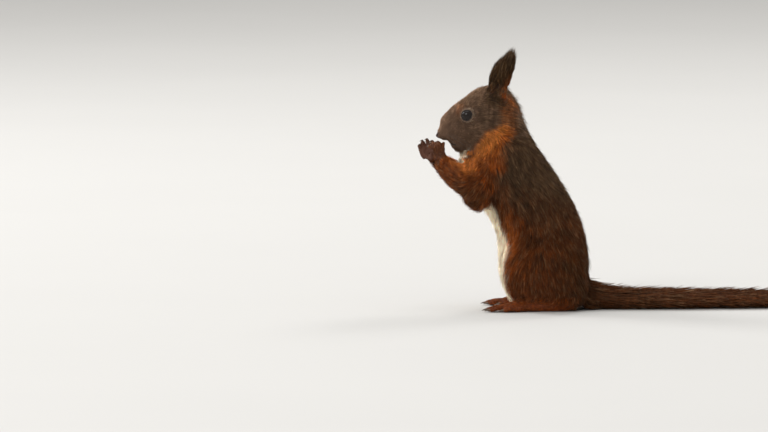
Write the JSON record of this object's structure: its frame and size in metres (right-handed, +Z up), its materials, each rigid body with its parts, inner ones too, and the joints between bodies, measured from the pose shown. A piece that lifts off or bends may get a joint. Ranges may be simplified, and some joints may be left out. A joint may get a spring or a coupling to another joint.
{
  "type": "red squirrel",
  "caption": "Life-size still model of a red squirrel sitting up on its haunches, forepaws held at its mouth and the bushy tail laid out behind it.",
  "frame": {"origin": "on the floor under the seat, in the mid plane of the body", "axes": "-Y towards the nose, +X to the animal's left, +Z up"},
  "size_m": [0.0689, 0.2909, 0.1763],
  "materials": {
    "coat_grey_brown": "soft fur",
    "coat_red_brown": "soft fur",
    "coat_dark_brown": "soft fur",
    "eye_black": "wet gloss"
  },
  "bodies": {
    "root": {"head": "coat_grey_brown", "neck": "coat_grey_brown", "chest": "coat_grey_brown", "abdomen": "coat_grey_brown", "rump": "coat_red_brown", "tail_base": "coat_red_brown", "tail_middle": "coat_red_brown", "tail_end": "coat_red_brown", "ear_left": "coat_dark_brown", "ear_right": "coat_dark_brown", "eye_left": "eye_black", "eye_right": "eye_black", "forearm_left": "coat_red_brown", "forearm_right": "coat_red_brown", "forepaw_left": "coat_red_brown", "forepaw_right": "coat_red_brown", "hind_leg_left": "coat_red_brown", "hind_leg_right": "coat_red_brown", "hind_foot_left": "coat_red_brown", "hind_foot_right": "coat_red_brown"}
  },
  "joints": []
}
